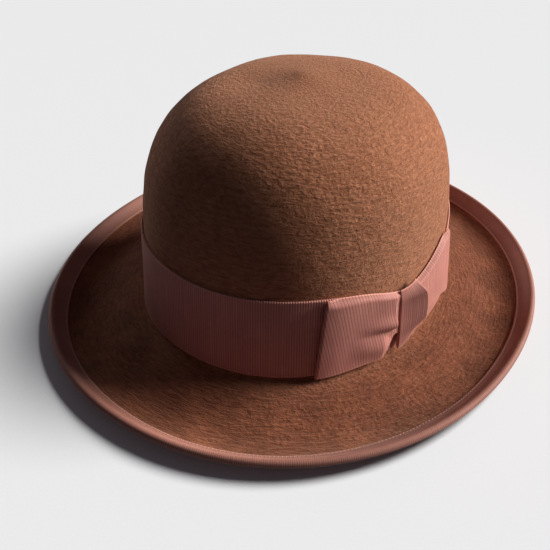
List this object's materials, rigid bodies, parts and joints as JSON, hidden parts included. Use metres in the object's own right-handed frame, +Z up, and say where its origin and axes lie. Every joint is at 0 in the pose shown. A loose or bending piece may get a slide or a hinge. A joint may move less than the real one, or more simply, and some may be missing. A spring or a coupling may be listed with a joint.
{
  "type": "bowler hat",
  "caption": "Felt bowler hat: round crown, bound brim curled at its edge, ribbon band with a flat side bow, leather sweatband and satin lining.",
  "frame": {"origin": "on the surface that the brim rests on, under the middle of the crown", "axes": "+Z up, the wearer looks along -Y, +X is on the wearer's left, where the bow is"},
  "size_m": [0.2876, 0.3116, 0.1398],
  "materials": {
    "felt": "short brushed fur felt, reddish tan",
    "ribbon": "ribbed grosgrain ribbon, rosy brown",
    "sweatband_leather": "smooth tan leather, satin",
    "reed": "leather-covered cord",
    "lining": "satin weave, soft sheen",
    "tip_film": "thin clear film",
    "paper_tab": "blank matt paper",
    "inner_bow": "narrow grosgrain ribbon"
  },
  "bodies": {
    "root": {"felt_body": "felt", "brim_binding": "ribbon", "binding_join": "ribbon", "hat_band": "ribbon", "bow_base": "ribbon", "bow_front_loop": "ribbon", "bow_rear_loop": "ribbon", "bow_knot": "ribbon", "sweatband": "sweatband_leather", "sweatband_reed": "reed", "lining_side": "lining", "lining_piping": "lining", "lining_tip": "lining", "tip_guard": "tip_film", "size_tab": "paper_tab", "back_bow_left": "inner_bow", "back_bow_right": "inner_bow", "back_bow_knot": "inner_bow"}
  },
  "joints": []
}
